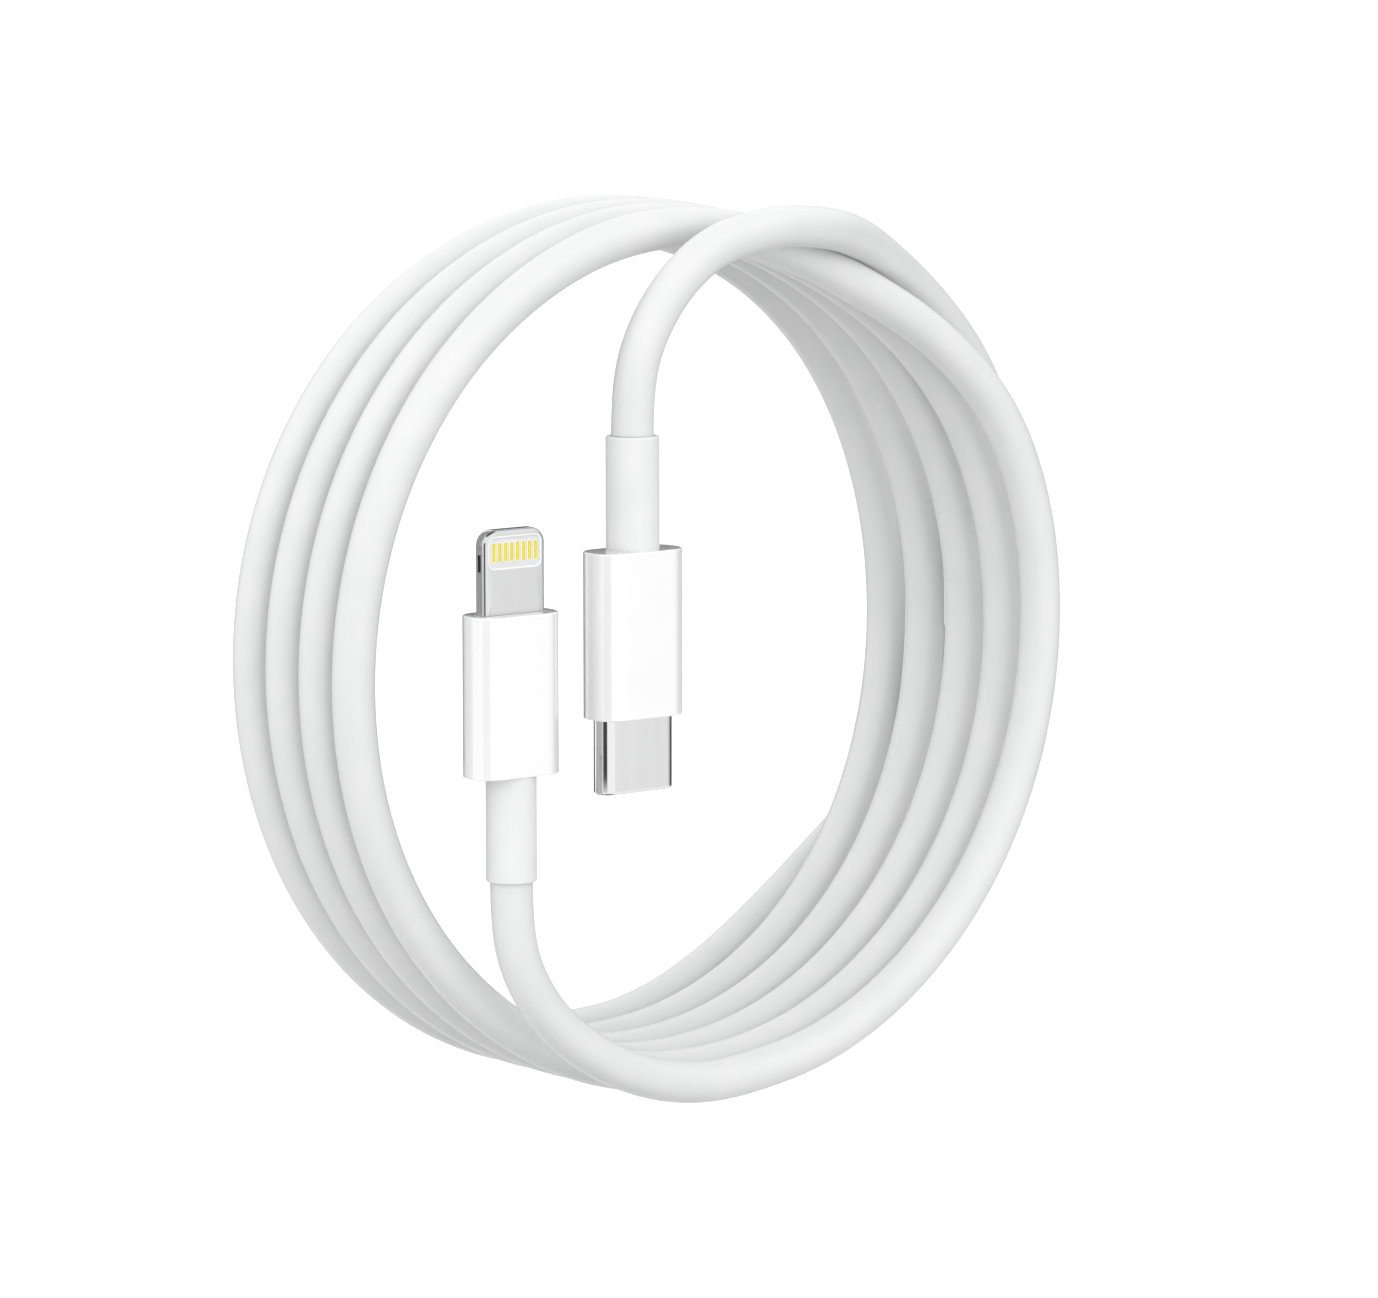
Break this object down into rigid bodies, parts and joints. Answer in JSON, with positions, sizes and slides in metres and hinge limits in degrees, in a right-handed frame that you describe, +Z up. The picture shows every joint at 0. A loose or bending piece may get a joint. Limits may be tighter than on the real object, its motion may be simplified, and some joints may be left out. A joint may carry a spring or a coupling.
{
  "type": "charging cable",
  "caption": "Coiled charging cable with a wide reversible plug at one end and a narrow tab plug at the other.",
  "frame": {"origin": "the point where a peg or hook carries the coil: the inside of the coil at its top, halfway through its depth", "axes": "+Z up, the coil is wound about Y, -Y is the front where both leads and plugs lie, +X towards the bare side of the coil"},
  "size_m": [0.0862, 0.0337, 0.082],
  "materials": {
    "cable_jacket": "satin",
    "housing_white": "gloss",
    "sleeve_white": "satin",
    "braid_copper": "woven wire",
    "tinned_steel": "tinned",
    "shell_steel": "satin",
    "blade_steel": "satin",
    "wire_insulation": "plain",
    "board_green": "solder mask",
    "chip_black": "moulded",
    "carrier_plastic": "moulded",
    "plate_white": "moulded",
    "contact_gold": "gold plated"
  },
  "bodies": {
    "coil": {"cable_coil": "cable_jacket", "cable_flex_tab": "cable_jacket", "cable_flex_type_c": "cable_jacket", "cable_lead_tab": "cable_jacket", "cable_lead_type_c": "cable_jacket"},
    "type_c_end": {"type_c_braid_end": "braid_copper", "type_c_can_back": "tinned_steel", "type_c_can_front": "tinned_steel", "type_c_capacitors": "chip_black", "type_c_circuit_board": "board_green", "type_c_contact_carrier": "carrier_plastic", "type_c_crimp_ring": "tinned_steel", "type_c_housing": "housing_white", "type_c_jacket_end": "cable_jacket", "type_c_lower_contacts": "contact_gold", "type_c_marker_chip": "chip_black", "type_c_shell": "shell_steel", "type_c_side_latches": "shell_steel", "type_c_sleeve": "sleeve_white", "type_c_upper_contacts": "contact_gold", "type_c_wires": "wire_insulation"},
    "tab_end": {"tab_blade_frame": "blade_steel", "tab_braid_end": "braid_copper", "tab_can_back": "tinned_steel", "tab_can_front": "tinned_steel", "tab_circuit_board": "board_green", "tab_contact_plate_back": "plate_white", "tab_contact_plate_front": "plate_white", "tab_contacts_back": "contact_gold", "tab_contacts_front": "contact_gold", "tab_control_chips": "chip_black", "tab_crimp_ring": "tinned_steel", "tab_housing": "housing_white", "tab_jacket_end": "cable_jacket", "tab_sleeve": "sleeve_white", "tab_wires": "wire_insulation"}
  },
  "joints": [
    {"name": "type_c_bend", "type": "hinge", "parent": "coil", "child": "type_c_end", "pos_m": [-0.0131, -0.0159, -0.0145], "axis": [1, 0, 0], "range_deg": [-25, 25], "stiffness_Nm_per_rad": 0.01, "deforming": ["cable_flex_type_c"]},
    {"name": "tab_bend", "type": "hinge", "parent": "coil", "child": "tab_end", "pos_m": [-0.0267, -0.0159, -0.056], "axis": [1, 0, 0], "range_deg": [-25, 25], "stiffness_Nm_per_rad": 0.01, "deforming": ["cable_flex_tab"]}
  ]
}
